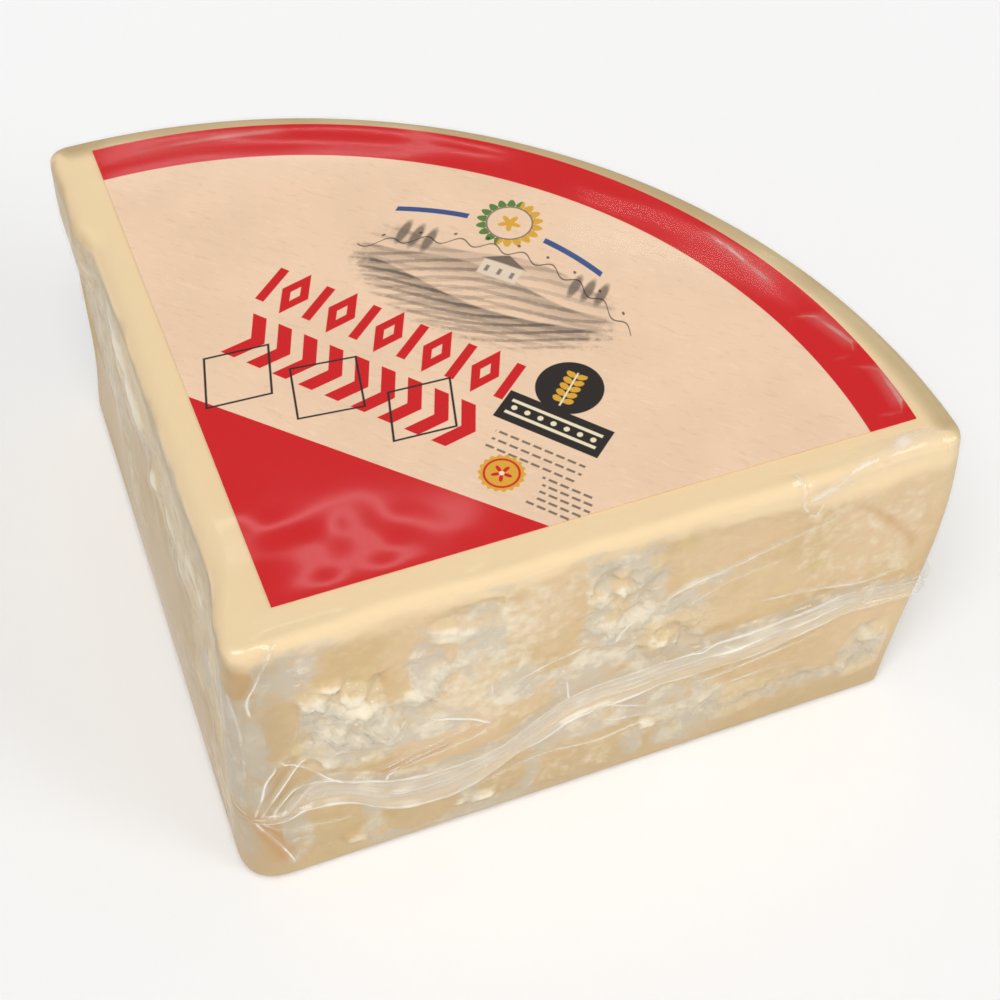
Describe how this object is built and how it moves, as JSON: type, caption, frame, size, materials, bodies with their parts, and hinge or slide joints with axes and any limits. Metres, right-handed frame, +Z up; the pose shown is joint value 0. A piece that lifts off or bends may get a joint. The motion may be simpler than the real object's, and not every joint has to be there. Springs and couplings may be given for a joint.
{
  "type": "parmesan chunk",
  "caption": "Hard cheese chunk, a quarter of a wheel in plan and half its height, sealed in clear shrink film under a quarter-disc paper label.",
  "frame": {"origin": "centre of the footprint, on the flat underside", "axes": "+Z up through the labelled face; the two cut faces look along -Y and -X, and the round rind looks towards +X and +Y"},
  "size_m": [0.2298, 0.2226, 0.1223],
  "materials": {
    "film_pack": "straw-coloured hard cheese under clear shrink film with wrinkles and soft highlights",
    "label": "uncoated beige paper printed with a red corner and a red arc, under clear film"
  },
  "bodies": {
    "root": {"film_pack": "film_pack", "label": "label"}
  },
  "joints": []
}
